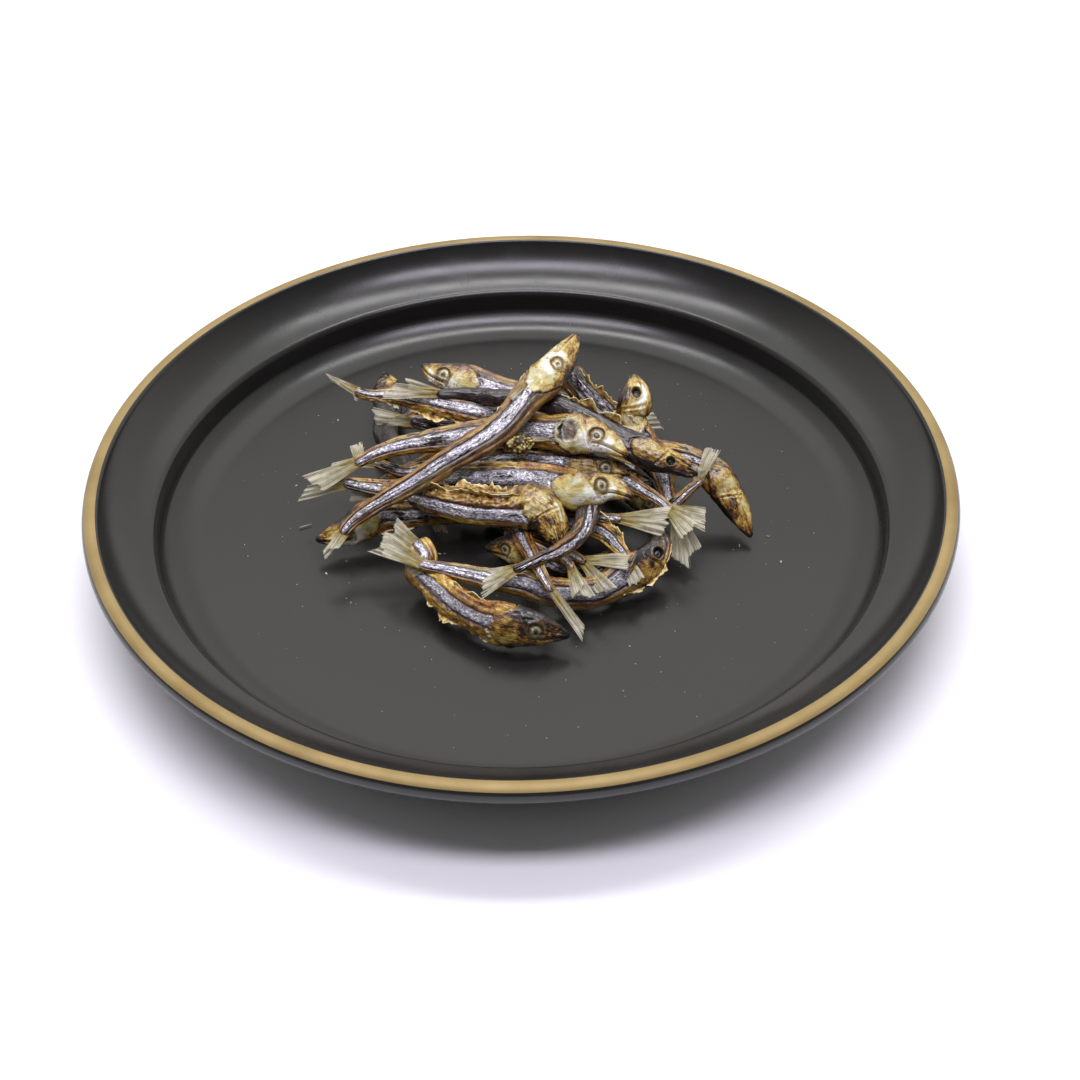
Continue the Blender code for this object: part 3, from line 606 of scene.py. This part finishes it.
def plate_section():
    """The plate's half section, from the middle of the floor over the lip to the middle of the base."""
    floor = [(FLOOR_RADIUS * i / 12, FLOOR_TOP) for i in range(12)]
    well = arc((FLOOR_RADIUS, FLOOR_TOP + WELL_SWEEP), WELL_SWEEP, -90, WELL_SWEEP_ENDS - 90, 12)
    turn = math.radians(WELL_SWEEP_ENDS)
    corner = (well[-1][0] - WELL_ROUNDING * math.sin(turn), well[-1][1] + WELL_ROUNDING * math.cos(turn))
    well += arc(corner, WELL_ROUNDING, WELL_SWEEP_ENDS - 90, -10, 8)[1:]
    edge = arc(EDGE_CENTRE, EDGE_ROUNDING, 165, 110, 10)
    rim = sweep(edge[-1], RIM_HOLLOW, RIM_TOP, 16)[1:]
    lip = arc((LIP_RADIUS - LIP_ROUNDING, LIP_HEIGHT - LIP_ROUNDING), LIP_ROUNDING, 130, -45, 24)
    under_rim = sweep(UNDER_LIP, UNDER_HOLLOW, UNDER_RIM, 10)
    base = arc((BASE_RADIUS - BASE_ROUNDING, BASE_HEIGHT + BASE_ROUNDING), BASE_ROUNDING, 0, -90, 8)
    foot = [
        (FOOT_OUTER, BASE_HEIGHT),
        (FOOT_OUTER, FOOT_CHAMFER),
        (FOOT_OUTER - FOOT_CHAMFER, 0.0),
        (FOOT_INNER + FOOT_CHAMFER, 0.0),
        (FOOT_INNER, FOOT_CHAMFER),
        (FOOT_INNER, BASE_HEIGHT),
    ]
    return [*floor, *well, *edge, *rim, *lip, *under_rim, *base, *foot, (0.0, BASE_HEIGHT)]


def make_plate(glaze, gold_paint):
    """The section spun round the plate's axis, with the lip's faces gilt."""
    bm = bmesh.new()
    corners = [bm.verts.new((r * MM, 0.0, z * MM)) for r, z in plate_section()]
    edges = [bm.edges.new(pair) for pair in zip(corners, corners[1:])]
    bmesh.ops.spin(
        bm, geom=corners + edges, cent=(0, 0, 0), axis=(0, 0, 1),
        angle=math.tau, steps=PLATE_SIDES, use_merge=True,
    )
    bmesh.ops.remove_doubles(bm, verts=bm.verts, dist=1e-6)
    bmesh.ops.recalc_face_normals(bm, faces=bm.faces)
    for face in bm.faces:
        middle = face.calc_center_median() / MM
        if GILT_BAND[0] < middle.xy.length < GILT_BAND[1] and middle.z > LIP_HEIGHT - LIP_ROUNDING:
            face.material_index = 1
    return finished(bm, "coupe_plate", glaze, gold_paint, replaces="plate", slot="black_glaze")


def fine_route(points, steps=24):
    """A smooth curve through a fish's route points, in millimetres from the table."""
    knots = [Vector((x, y, z + FLOOR_TOP)) for x, y, z in points]
    ends = [knots[0] * 2 - knots[1], *knots, knots[-1] * 2 - knots[-2]]
    curve = []
    for before, start, end, after in zip(ends, ends[1:], ends[2:], ends[3:]):
        curve += interpolate_bezier(
            start, start + (end - before) / 6, end - (after - start) / 6, end, steps
        )[:-1]
    return [*curve, knots[-1]]


def across(point, direction, shows):
    """The way the shown flank faces and the way the back points, for a body lying along direction."""
    faces = LOW_FLANK_FACES.lerp(HIGH_FLANK_FACES, rise(*LOW_AND_HIGH, point.z))
    flank = (faces - direction * faces.dot(direction)).normalized()
    back = direction.cross(flank) if shows == "right" else flank.cross(direction)
    return flank, back


class Spine:
    """A fish's middle line: where it is, which way it runs and how thick the fish is, at any share."""

    def __init__(self, fish):
        self.fish = fish
        self.curve = fine_route(fish.route)
        self.lengths = [0.0]
        for a, b in zip(self.curve, self.curve[1:]):
            self.lengths.append(self.lengths[-1] + (b - a).length)
        first, last = fish.span
        self.whole_length = self.lengths[-1] / (last - first)
        self.seed = Vector((fish.depth * 31.7, len(self.curve) * 1.3, fish.route[0][0] * 2.1))

    def at(self, share):
        """Middle, direction, flank, back and place in BUILD, at a share of the route."""
        wanted = min(max(share, 0.0), 1.0) * self.lengths[-1]
        low, high = 0, len(self.lengths) - 2
        while low < high:
            middle = (low + high + 1) // 2
            if self.lengths[middle] <= wanted:
                low = middle
            else:
                high = middle - 1
        reach = max(1, len(self.curve) // 60)
        before = self.curve[max(low - reach, 0)]
        after = self.curve[min(low + 1 + reach, len(self.curve) - 1)]
        step = self.curve[low + 1] - self.curve[low]
        point = self.curve[low] + step * ((wanted - self.lengths[low]) / step.length)
        along = (after - before).normalized()
        flank, back = across(point, along, self.fish.shows)
        first, last = self.fish.span
        return point, along, flank, back, first + (last - first) * share


def thickness_at(place):
    """Half depth and half width at a place, as shares of the greatest half depth, rounded off."""
    offsets = (-0.02, -0.01, 0.0, 0.01, 0.02)
    total = Vector((0.0, 0.0))
    for offset in offsets:
        spot = min(max(place + offset * min(1.0, place * 40), 0.0), 1.0)
        for (p0, d0, w0), (p1, d1, w1) in zip(BUILD, BUILD[1:]):
            if spot <= p1:
                t = (spot - p0) / (p1 - p0)
                total += Vector((d0 + (d1 - d0) * t, w0 + (w1 - w0) * t))
                break
    return total / len(offsets)


def wave(*place, seed=Vector()):
    """Smooth noise about 0, at a place in the shape's own measures."""
    return noise.noise(Vector(place) + seed)


def rise(low, high, x):
    """0 below low, 1 above high and smooth between."""
    t = min(max((x - low) / (high - low), 0.0), 1.0)
    return t * t * (3 - 2 * t)


def ridge(x, centre, half_width):
    """1 at the centre, falling smoothly to 0 at half_width to each side."""
    t = abs(x - centre) / half_width
    return (1 - t * t) ** 2 if t < 1 else 0.0


def band_of(height, stripe):
    """Share of the way from belly to back, with the silver stripe moved to where the ramp has it."""
    low, high = stripe
    if height < low:
        return height / low * 0.31
    if height < high:
        return 0.31 + (height - low) / (high - low) * 0.36
    return 0.67 + (height - high) / (1 - high) * 0.33


def distance_to_line(x, y, start, end):
    """Distance from a point of the flank to a straight stretch."""
    run = Vector(end) - Vector(start)
    t = min(max((Vector((x, y)) - Vector(start)).dot(run) / run.length_squared, 0.0), 1.0)
    return (Vector((x, y)) - Vector(start) - run * t).length


def head_relief(x, y, half, head_length, eye_share, eye_size, gill_open):
    """Relief of the head in millimetres, with the distances to the eye and to the gill's ring.

    x is the distance back from the snout, and y the height above the middle line.
    """
    eye = math.hypot(x - eye_share * head_length, y) / (eye_size * half)
    relief = 0.0
    if eye < 1.6:
        relief += 0.24 * ridge(eye, 1.12, 0.26) - 0.2 * (1 - rise(0.78, 0.98, eye))
        relief += 0.24 * ridge(eye, 0.0, 0.6) + 0.06 * ridge(eye, 0.33, 0.12)
    gill = FAR_OFF
    if gill_open:
        gill_x, gill_y = GILL_CENTRE[0] * head_length, GILL_CENTRE[1] * half
        wobble = 0.4 * wave(x / 1.8, y / 1.8, 1.0)
        long, high = (share * (gill_open * head_length) for share in GILL_SIZE)
        gill = math.hypot((x - gill_x) / long, (y - gill_y) / high) + wobble
        relief += 0.22 * gill_open * ridge(gill, 1.15, 0.4)
        relief -= 0.5 * gill_open * (1 - rise(0.5, 1.0, gill))

    def line(*ends):
        """Distance to a line whose ends are shares of the head's length and of half its depth."""
        return distance_to_line(x, y, *((along * head_length, up * half) for along, up in ends))

    cheek = line((0.52, -0.7), (0.62, 0.55))
    mouth = line((0.0, -0.1), (0.47, -0.52))
    jaw = line((0.04, 0.05), (0.52, -0.34))
    brow = line((0.14, 0.42), (0.6, 0.72))
    relief -= 0.2 * ridge(cheek, 0.0, 0.4) - 0.12 * ridge(cheek, 0.5, 0.4)
    relief -= 0.4 * ridge(mouth, 0.0, 0.32)
    relief += 0.2 * ridge(jaw, 0.0, 0.5) * (1 - ridge(eye, 0.0, 1.2))
    relief += 0.14 * ridge(brow, 0.0, 0.4)
    nostril = math.hypot(x - 0.15 * head_length, y - 0.24 * half)
    relief -= 0.3 * ridge(nostril, 0.0, 0.35)
    return relief, eye, gill


def body_relief(x, band, seed, torn):
    """Relief of the trunk in millimetres: furrows along the colour lines, wrinkles on belly and back."""
    belly = 1 - rise(0.24, 0.33, band)
    relief = -0.26 * ridge(band, 0.31, 0.04) - 0.2 * ridge(band, 0.69, 0.05)
    relief += 0.1 * ridge(band, 0.42, 0.1) + 0.24 * ridge(band, 0.22, 0.07)
    relief -= 0.16 * ridge(band, 0.86, 0.05) - 0.12 * ridge(band, 0.94, 0.06)
    relief += belly * (0.12 + 0.6 * torn) * wave(x / 1.1, band * 9, 3.0, seed=seed)
    relief += belly * torn * 0.5 * wave(x / 0.8, band * 30, 11.0, seed=seed)
    relief += 0.1 * wave(x / 3.5, band * 14, 7.0, seed=seed)
    return relief


def skin_point(spine, angle, half, ring):
    """Place and skin values of a point of a fish. Angle 0 is the shown flank, 90 degrees the back."""
    fish = spine.fish
    point, flank, back, place, thick = ring
    x = place * spine.whole_length
    depth, width = thick[0] * half, thick[1] * half
    up, out = math.sin(angle), math.cos(angle)
    seed = spine.seed
    height = (1 + up) / 2
    sway = 0.05 * wave(x / 9, height * 1.5, 0.0, seed=seed)
    sway += 0.02 * wave(x / 2.2, height * 3, 5.0, seed=seed)
    band = band_of(min(max(height + sway, 0.0), 1.0), fish.look.stripe)
    head_length = HEAD_SHARE * fish.look.head * spine.whole_length
    y = up * depth
    edge = head_length * (1.0 - 0.2 * (y / half + 0.1) ** 2)
    edge += 0.5 * wave(y / 1.6, 0.0, 9.0, seed=seed)
    head = edge - x
    relief, eye, gill = 0.0, FAR_OFF, FAR_OFF
    if head > -1.5:
        eye_share = fish.look.eye if out > 0 else USUAL_EYE
        eye_size = HOLLOW_EYE_SIZE if fish.look.hollow else EYE_SIZE
        relief, eye, gill = head_relief(x, y, half, head_length, eye_share, eye_size, fish.look.gill)
        relief += 0.4 * fish.look.torn * wave(x / 3.0, angle * 5.0, 17.0, seed=seed)
        if fish.look.hollow:
            relief -= SOCKET_DEPTH * (1 - rise(0.5, 1.0, eye))
            # An empty socket takes the dark socket line's colour all over, as painted shade in the
            # hollow.
            eye = max(eye, 0.93)
        relief *= rise(-0.3, 0.3, head)
        lifted = 0.5 + wave(y / 2.2, 0.0, 13.0, seed=seed)
        relief += 0.3 * lifted * (rise(2.6, 0.2, head) if head > 0 else 1 - rise(0.0, -0.4, head))
        relief -= (0.15 + 0.3 * lifted) * ridge(head, -0.7, 0.7)
    smooth = 1 - 0.8 * fish.look.dark
    relief += smooth * body_relief(x, band, seed, fish.look.torn) * (1 - rise(-0.8, 0.2, head))
    spot = Vector((x, y, out * width))
    relief += 0.3 * noise.noise(spot / 6.5 + seed)
    relief += 0.13 * noise.noise(spot / 1.9 + seed)
    relief += 0.06 * noise.noise(spot / 0.7 + seed)
    fullness = math.copysign(abs(out) ** 0.68, out) * (1 - 0.3 * max(0.0, -up) ** 2)
    normal = (back * (up * width) + flank * (out * depth)).normalized()
    fade = min(1.0, depth / (0.5 * half))
    where = point + back * y + flank * (fullness * width) + normal * (relief * fade)
    face = Vector((x / head_length, y / half, seed.x % 37.0 * 10))
    return where, spot, face, band, head, eye, gill, relief, fish.look.torn


def ring_at(spine, share):
    """Middle, flank, back, place in BUILD and thickness of a ring at a share of the fish's mesh."""
    first, last = spine.fish.span
    whole_head = first == 0.0
    if whole_head:
        head_part = 1.1 * HEAD_SHARE / (last - first)
        if share < HEAD_RING_SHARE:
            share *= head_part / HEAD_RING_SHARE
        else:
            share = head_part + (share - HEAD_RING_SHARE) * (1 - head_part) / (1 - HEAD_RING_SHARE)
    point, _, flank, back, place = spine.at(share)
    thick = thickness_at(place)
    end = min(share, 1 - share) * spine.lengths[-1]
    rounding = SNOUT_ROUNDING if share < 0.5 and whole_head else END_ROUNDING
    if end < rounding:
        thick = thick * math.sqrt(max(0.0, 1 - (1 - end / rounding) ** 2))
    return point, flank, back, place, thick


def make_fish(fish, skin):
    """One fish, from its snout to the root of its tail fin, as a grid rolled into a tube."""
    spine = Spine(fish)
    rings, columns = COARSE_MESH if fish.look == HIDDEN else FINE_MESH
    half = fish.depth / 2
    bm = bmesh.new()
    vectors = [bm.verts.layers.float_vector.new(name) for name in SKIN_VECTORS]
    numbers = [bm.verts.layers.float.new(name) for name in SKIN_VALUES]
    bmesh.ops.create_grid(bm, x_segments=rings, y_segments=columns, size=1)
    tone = Vector((fish.look.gold, fish.look.dark, fish.look.pale))
    made = {}
    for vert in bm.verts:
        along_grid = (vert.co.x + 1) / 2
        key = round(along_grid * 100000)
        if key not in made:
            made[key] = ring_at(spine, along_grid)
        turn = vert.co.y
        angle = math.pi * (turn - FLANK_CROWDING * math.sin(math.pi * turn))
        where, spot, face, *values = skin_point(spine, angle, half, made[key])
        where.z = max(where.z, FLOOR_TOP + REST_GAP)
        vert.co = where * MM
        for layer, value in zip(vectors + numbers, (spot, tone, face, *values)):
            vert[layer] = value
    bmesh.ops.remove_doubles(bm, verts=bm.verts, dist=2e-6)
    bmesh.ops.recalc_face_normals(bm, faces=bm.faces)
    return finished(bm, "fish_" + fish.name, skin)


# How far a fin's edge is frayed and slants, as shares of its length, and the fins' meshes.
FRAY = 0.07
SLANT = 0.16
TAIL_MESH = (34, 22)
SIDE_MESH = (20, 10)

# Walls of thin sheets, how far a tail fin's root lies in the body, and how wide fins are there.
FIN_WALL = 0.12
SIDE_FIN_WALL = 0.1
FLAP_WALL = 0.16
FIN_OVERLAP = 1.6
FIN_ROOT = 0.34
FIN_SPREAD = 1.25
SIDE_FIN_WIDTHS = (1.3, 0.7)


def add_blade(bm, layer, start, tip, faces, width, root_width, seed, mesh=TAIL_MESH, curl=0.5):
    """Adds a fin's blade to a bmesh: a thin sheet of rays that widens to a frayed edge."""
    reach = tip - start
    run = reach.normalized()
    flat = (faces - run * faces.dot(run)).normalized()
    side = run.cross(flat)
    made = bmesh.ops.create_grid(bm, x_segments=mesh[0], y_segments=mesh[1], size=1)["verts"]
    for vert in made:
        s, a = (vert.co.x + 1) / 2, vert.co.y
        ray = wave(a * 5.0, seed * 3.1, 0.0)
        split = wave(a * 2.2, seed * 7.7, 4.0)
        length = 1.0 + FRAY * ray + SLANT * a * math.sin(seed * 5)
        half_width = (root_width + (width - root_width) * rise(0.0, 1.1, s)) / 2
        where = start + reach * (s * length) + side * (a * half_width)
        lift = curl * math.sin(s * 2.2 + seed) * s + 0.5 * split * s * s
        lift += 0.35 * wave(s * 3, a * 2, seed)
        where += flat * lift
        where.z = max(where.z, FLOOR_TOP + REST_GAP)
        vert.co = where * MM
        vert[layer] = Vector((s * length, a, seed))


def give_wall(piece, thickness):
    """Gives a piece's thin sheets a wall, so that each is closed."""
    wall = piece.modifiers.new("wall", "SOLIDIFY")
    wall.thickness = thickness * MM
    wall.offset = 0.0
    return piece


def make_tail_fins(fin):
    """The blades of every tail fin, in one piece."""
    bm = bmesh.new()
    layer = bm.verts.layers.float_vector.new("blade")
    for fish in HEAP:
        point, along, flank, _, _ = Spine(fish).at(1.0)
        start = point - along * FIN_OVERLAP
        for number, (x, y, z, width) in enumerate(fish.fins):
            seed = fish.depth + number * 1.7 + fish.route[0][0] * 0.13
            tip = Vector((x, y, z + FLOOR_TOP))
            add_blade(bm, layer, start, tip, flank, FIN_SPREAD * width, FIN_ROOT * fish.depth, seed)
    return give_wall(finished(bm, "tail_fins", fin), FIN_WALL)


def make_side_fins(fin):
    """Breast fins folded back along the flanks, behind the gill covers. Hollow heads have none left."""
    bm = bmesh.new()
    layer = bm.verts.layers.float_vector.new("blade")
    for number, fish in enumerate(HEAP):
        if fish.span[0] > 0 or fish.look.hollow:
            continue
        spine = Spine(fish)
        half = fish.depth / 2
        point, _, flank, back, _ = spine.at(HEAD_SHARE * 1.03)
        start = point - back * (0.5 * half) + flank * (0.46 * half)
        later, _, flank_later, back_later, _ = spine.at(HEAD_SHARE + 0.09)
        tip = later - back_later * (0.62 * half) + flank_later * (0.6 * half)
        add_blade(bm, layer, start, tip, flank, *SIDE_FIN_WIDTHS, number * 1.3, SIDE_MESH, curl=0.25)
    return give_wall(finished(bm, "breast_fins", fin), SIDE_FIN_WALL)


# Torn flaps: the fish, the share of its route where the flap begins and ends, how far round
# from the shown flank it is rooted (degrees, the belly is at -90), its width and how it leans.
FLAPS = (
    ("split_belly", 0.28, 0.78, -38, 2.6, 0.6),
    ("split_belly", 0.24, 0.8, -88, 2.2, 0.2),
    ("upper_back", 0.3, 0.56, -70, 2.6, 0.5),
    ("front_fish", 0.5, 0.7, -80, 2.4, 0.3),
    ("front_fish", 0.26, 0.4, -85, 1.6, 0.3),
    ("front_fish", 0.3, 0.7, 80, 1.4, 0.6),
    ("across_top", 0.24, 0.42, -80, 1.5, 0.5),
    ("back_flap", 0.05, 0.75, -60, 2.8, 0.6),
    ("back_flap", 0.1, 0.8, 60, 2.2, 0.5),
    ("upper_left", 0.45, 0.9, -85, 1.6, 0.3),
    ("front_curl", 0.08, 0.3, -60, 2.0, 0.5),
    ("inner_curl", 0.5, 0.95, -70, 1.8, 0.5),
    ("left_head", 0.2, 0.4, -80, 1.8, 0.4),
    ("upright_head", 0.24, 0.34, 75, 2.4, 0.5),
)


def make_flaps(flesh):
    """Ragged edges of skin and flesh where bellies have split, in one piece."""
    bm = bmesh.new()
    layer = bm.verts.layers.float_vector.new("blade")
    by_name = {fish.name: fish for fish in HEAP}
    for number, (name, first, last, turn, width, lean) in enumerate(FLAPS):
        fish = by_name[name]
        spine = Spine(fish)
        half = fish.depth / 2
        turn = math.radians(turn)
        long_steps = max(24, round((last - first) * 160))
        made = bmesh.ops.create_grid(bm, x_segments=long_steps, y_segments=10, size=1)["verts"]
        for vert in made:
            s, outward = (vert.co.x + 1) / 2, (vert.co.y + 1) / 2
            share = first + (last - first) * s
            point, along, flank, back, place = spine.at(share)
            thick = thickness_at(place)
            x = share * spine.lengths[-1]
            out = back * math.sin(turn) + flank * math.cos(turn)
            root = point + back * (math.sin(turn) * thick[0] * half * 0.85)
            root += flank * (math.cos(turn) * thick[1] * half * 0.85)
            torn = 0.62 + 1.1 * wave(x / 3.1, number * 3.3, 0.0)
            torn += 0.5 * wave(x / 1.0, number * 5.3, 2.0)
            wide = width * math.sin(math.pi * min(max(s, 0.02), 0.98)) ** 0.5 * max(torn, 0.15)
            bend = outward * lean
            where = root + (out * math.cos(bend) + flank * math.sin(bend)) * (outward * wide)
            where += flank * (0.45 * wave(x / 2.1, outward * 1.5, number))
            where += flank * (0.3 * wave(x / 0.7, outward * 4.0, number + 4.0))
            where += along * (0.9 * wave(x / 2, outward * 2, number + 9.0))
            where.z = max(where.z, FLOOR_TOP + REST_GAP)
            vert.co = where * MM
            vert[layer] = Vector((outward, s, number))
    return give_wall(finished(bm, "torn_flaps", flesh), FLAP_WALL)


# A lump of dried roe between two fish: its middle, its half sizes and how far its grains stand out.
ROE_MIDDLE = (-0.6, 4.4, 21.6)
ROE_SIZE = (4.0, 2.4, 2.2)
ROE_GRAIN = 0.5

# Loose fin rays: both ends, in millimetres from the middle of the plate's floor, and the radius.
RAYS = (
    ((-14.6, -2.0, 18.0), (-9.8, -1.0, 21.2), 0.11),
    ((-13.9, -1.4, 18.0), (-10.2, -2.6, 21.2), 0.09),
    ((-55.3, -0.8, 0.4), (-52.4, 0.4, 0.5), 0.2),
)


def make_roe(roe):
    """The lump of dried roe: an uneven ball with grains on it."""
    bm = bmesh.new()
    layer = bm.verts.layers.float.new("grain")
    bmesh.ops.create_icosphere(bm, subdivisions=5, radius=1.0)
    for vert in bm.verts:
        spot = Vector(a * b for a, b in zip(vert.co, ROE_SIZE))
        grain = 0.5 - noise.voronoi(spot / 0.75)[0][0]
        spot += vert.co * (ROE_GRAIN * grain + 0.9 * noise.noise(spot / 1.9))
        vert.co = (spot + Vector(ROE_MIDDLE) + Vector((0, 0, FLOOR_TOP))) * MM
        vert[layer] = grain
    return finished(bm, "roe_lump", roe)


def make_rays(fin):
    """Loose fin rays on the fish and on the floor, in one piece."""
    bm = bmesh.new()
    layer = bm.verts.layers.float_vector.new("blade")
    for start, end, radius in RAYS:
        start, end = (Vector(place) + Vector((0, 0, FLOOR_TOP)) for place in (start, end))
        turn = (end - start).to_track_quat("Z", "Y").to_matrix().to_4x4()
        bmesh.ops.create_cone(
            bm, cap_ends=True, segments=8, radius1=radius * MM, radius2=0.6 * radius * MM,
            depth=(end - start).length * MM, matrix=Matrix.Translation((start + end) / 2 * MM) @ turn,
        )
    for vert in bm.verts:
        vert[layer] = Vector((0.8, 0.0, 0.0))
    return finished(bm, "loose_rays", fin, replaces=None)


# Crumbs, anywhere on the plate's floor. Sizes are in millimetres, and a few crumbs are larger.
CRUMBS = 230
CRUMB_SIZES = (0.07, 0.2)
LARGE_SHARE = 0.08
LARGE_AND_SMALL = (1.5, 0.8)


def make_crumbs(dust):
    """Specks of scale and dust on the plate's floor, in one piece."""
    draw = random.Random(12)
    bm = bmesh.new()
    for number in range(CRUMBS):
        angle = draw.uniform(0, math.tau)
        radius = draw.uniform(0, 1) ** 0.6 * (FLOOR_RADIUS - 2)
        size = draw.uniform(*CRUMB_SIZES) * LARGE_AND_SMALL[0 if draw.random() < LARGE_SHARE else 1]
        middle = Vector((radius * math.cos(angle), radius * math.sin(angle), FLOOR_TOP + size * 0.3))
        spin = Matrix.Rotation(draw.uniform(0, math.tau), 4, "Z")
        shape = Matrix.Diagonal((size * draw.uniform(1.0, 2.2), size, size * 0.4, 1.0))
        bmesh.ops.create_icosphere(
            bm, subdivisions=1, radius=MM, matrix=Matrix.Translation(middle * MM) @ spin @ shape
        )
    return finished(bm, "crumbs", dust, replaces=None)


def make_stage():
    """A plain pale floor that runs past the camera's view."""
    bm = bmesh.new()
    bmesh.ops.create_grid(bm, x_segments=1, y_segments=1, size=3.0)
    bmesh.ops.translate(bm, verts=bm.verts, vec=(0, 0, -0.05 * MM))
    mesh = bpy.data.meshes.new("stage_floor")
    bm.to_mesh(mesh)
    bm.free()
    mesh.materials.append(white_table())
    floor = bpy.data.objects.new("stage_floor", mesh)
    bpy.context.scene.collection.objects.link(floor)


def place_camera():
    """The photograph's viewpoint."""
    look = Vector((0.0, math.cos(CAMERA_ELEVATION), -math.sin(CAMERA_ELEVATION)))
    level = Vector((1.0, 0.0, 0.0))
    upright = level.cross(look)
    right = level * math.cos(CAMERA_ROLL) + upright * math.sin(CAMERA_ROLL)
    up = upright * math.cos(CAMERA_ROLL) - level * math.sin(CAMERA_ROLL)
    data = bpy.data.cameras.new("camera")
    data.sensor_width = SENSOR_MM
    data.lens = SENSOR_MM * FOCAL_PIXELS / PHOTO_PIXELS
    data.clip_start = 0.01
    camera = bpy.data.objects.new("camera", data)
    stand = Matrix.Translation((CAMERA_AIM - look * CAMERA_DISTANCE) * MM)
    camera.matrix_world = stand @ Matrix((right, up, -look)).transposed().to_4x4()
    bpy.context.scene.collection.objects.link(camera)
    bpy.context.scene.camera = camera


# Brightness of the surroundings before and behind the plate.
ROOM_BRIGHTNESS = (0.15, 0.92)

# Lamps: name, place and size in metres, brightness and colour. Each one faces the plate's middle.
LAMPS = (
    ("front_strip", (0.0, -0.26, 0.97), (0.9, 0.2), 12.0, "#F5F1FF"),
    ("back_strip", (0.0, 0.2, 0.98), (0.9, 0.12), 14.0, "#FFFFFF"),
    ("back_ceiling", (0.0, 0.55, 0.83), (1.0, 0.5), 0.6, "#FFFFFF"),
)


def add_light(name, place, size, brightness, colour):
    """A soft oblong lamp that faces the plate's middle. Brightness is its radiance."""
    data = bpy.data.lights.new(name, "AREA")
    data.shape = "RECTANGLE"
    data.size, data.size_y = size
    data.energy = brightness * math.pi * size[0] * size[1]
    data.color = linear_colour(colour)[:3]
    lamp = bpy.data.objects.new(name, data)
    lamp.location = place
    lamp.rotation_euler = (Vector() - Vector(place)).to_track_quat("-Z", "Y").to_euler()
    bpy.context.scene.collection.objects.link(lamp)


def light_scene():
    """Two lamp strips overhead, a dim panel behind them and pale surroundings.

    The surroundings are bright behind the plate and dim behind the camera.
    """
    world = bpy.data.worlds.new("room")
    world.use_nodes = True
    add = partial(add_node, world.node_tree)
    backward = add("SeparateXYZ", add("TexCoord", out="Generated")).node.outputs["Y"]
    sky = world.node_tree.nodes["Background"]
    fill(sky.inputs["Color"], "#FFFEFA")
    fill(sky.inputs["Strength"], add("MapRange", backward, -0.3, 0.5, *ROOM_BRIGHTNESS))
    bpy.context.scene.world = world
    for lamp in LAMPS:
        add_light(*lamp)
    bpy.context.scene.view_settings.view_transform = "Standard"


place_camera()
make_plate(black_glaze(), gilt())
skin_material = dried_skin()
fin_material = dried_fin()
flesh_material = torn_flesh()
for each in HEAP:
    make_fish(each, skin_material)
make_tail_fins(fin_material)
make_side_fins(fin_material)
make_flaps(flesh_material)
make_roe(dried_roe())
make_rays(fin_material)
make_crumbs(pale_dust())
make_stage()
light_scene()
